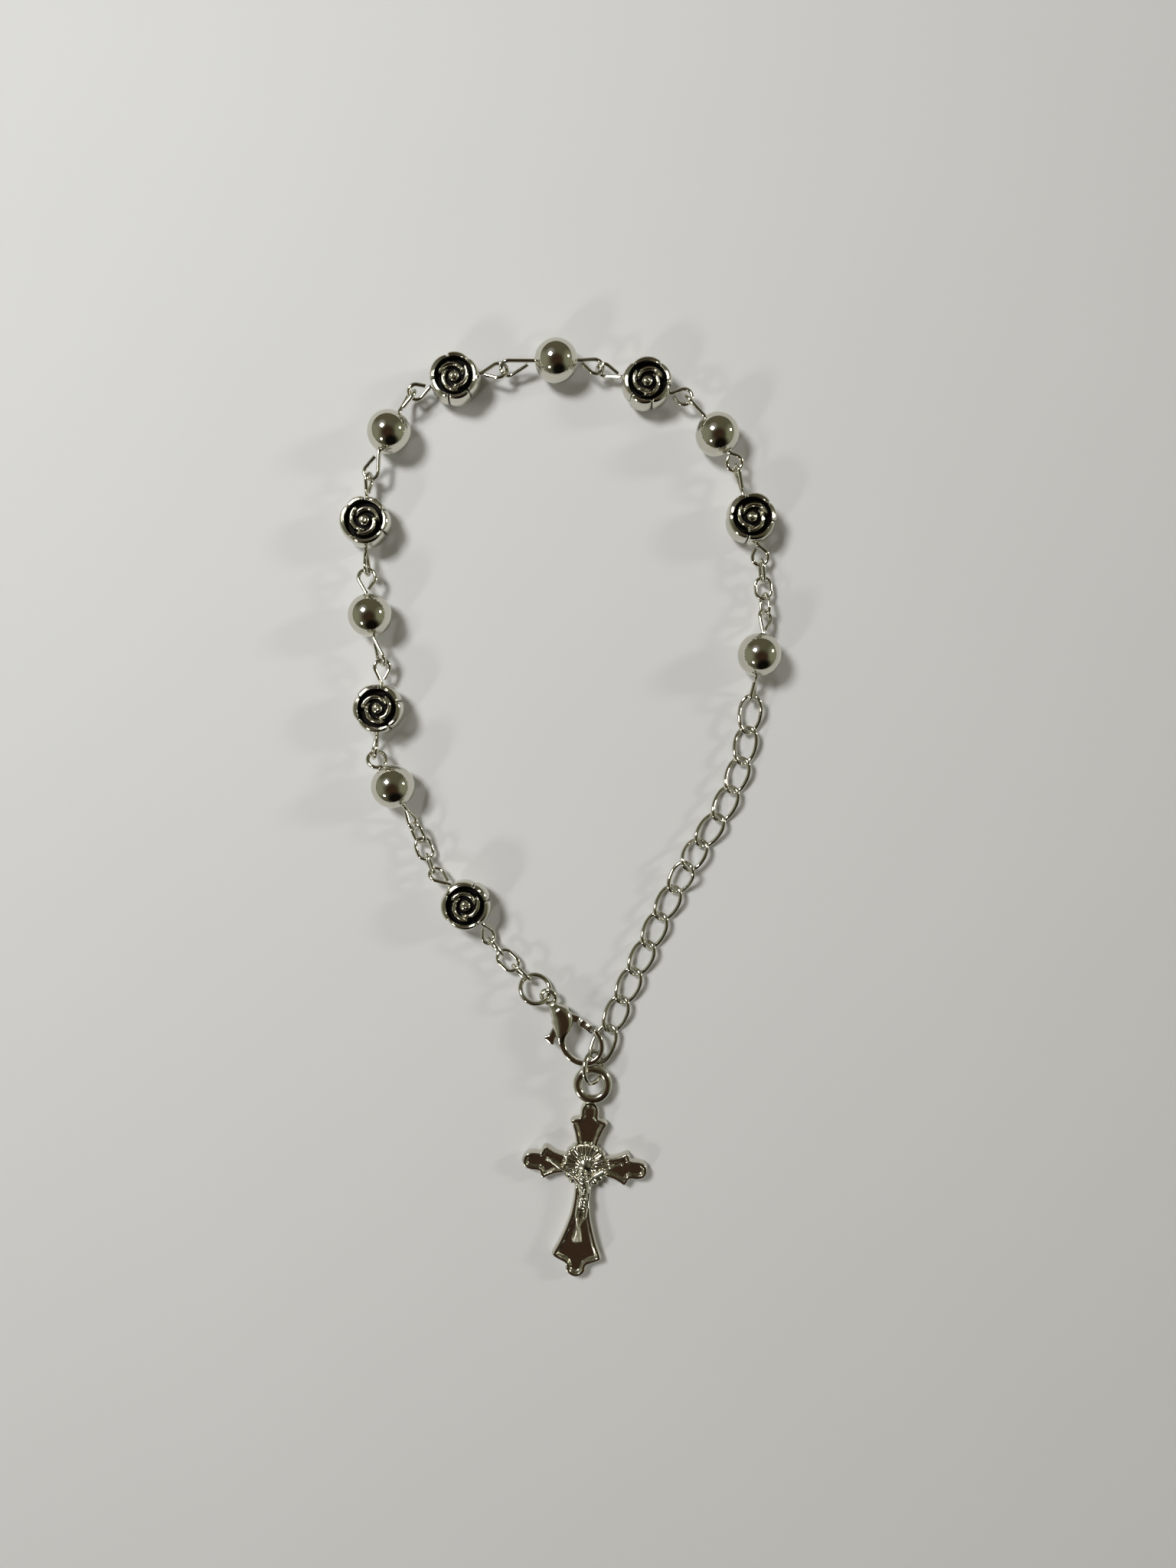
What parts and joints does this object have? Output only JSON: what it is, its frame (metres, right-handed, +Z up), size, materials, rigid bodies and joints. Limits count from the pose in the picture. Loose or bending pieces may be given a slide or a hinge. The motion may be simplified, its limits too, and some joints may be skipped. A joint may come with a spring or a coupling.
{
  "type": "rosary bracelet",
  "caption": "Silver-tone rosary bracelet of round and rose beads on eye pins, with an extension chain, lobster clasp and crucifix.",
  "frame": {"origin": "Centre of the bounding box in X and Y, on the surface the bracelet lies on", "axes": "+Y from the crucifix to the far beads, +X to the right as seen from above, +Z up"},
  "size_m": [0.0606, 0.1298, 0.006],
  "materials": {
    "silver_plate": "mirror-polished, slightly warm plating",
    "rose_silver": "polished petals over blackened recesses",
    "crucifix_silver": "mirror-polished casting with sharp relief"
  },
  "bodies": {
    "bracelet": {"rose_1": "rose_silver", "rose_2": "rose_silver", "rose_3": "rose_silver", "rose_4": "rose_silver", "rose_5": "rose_silver", "rose_6": "rose_silver", "bead_1": "silver_plate", "bead_2": "silver_plate", "bead_3": "silver_plate", "bead_4": "silver_plate", "bead_5": "silver_plate", "bead_6": "silver_plate", "pin_1": "silver_plate", "pin_2": "silver_plate", "pin_3": "silver_plate", "pin_4": "silver_plate", "pin_5": "silver_plate", "pin_6": "silver_plate", "pin_7": "silver_plate", "pin_8": "silver_plate", "pin_9": "silver_plate", "pin_10": "silver_plate", "pin_11": "silver_plate", "pin_12": "silver_plate", "chain_a": "silver_plate", "chain_b": "silver_plate", "chain_c": "silver_plate", "extension_chain": "silver_plate", "clasp_ring": "silver_plate", "pendant_ring": "silver_plate", "clasp_body": "silver_plate", "crucifix": "crucifix_silver"},
    "lever": {"clasp_lever": "silver_plate"}
  },
  "joints": [
    {"name": "lever_hinge", "type": "hinge", "parent": "bracelet", "child": "lever", "pos_m": [0.00003, -0.02841, 0.00188], "axis": [0.0455, -0.0764, -0.996], "range_deg": [0, 18], "stiffness_Nm_per_rad": 0.00002, "springref_deg": -20.05}
  ]
}
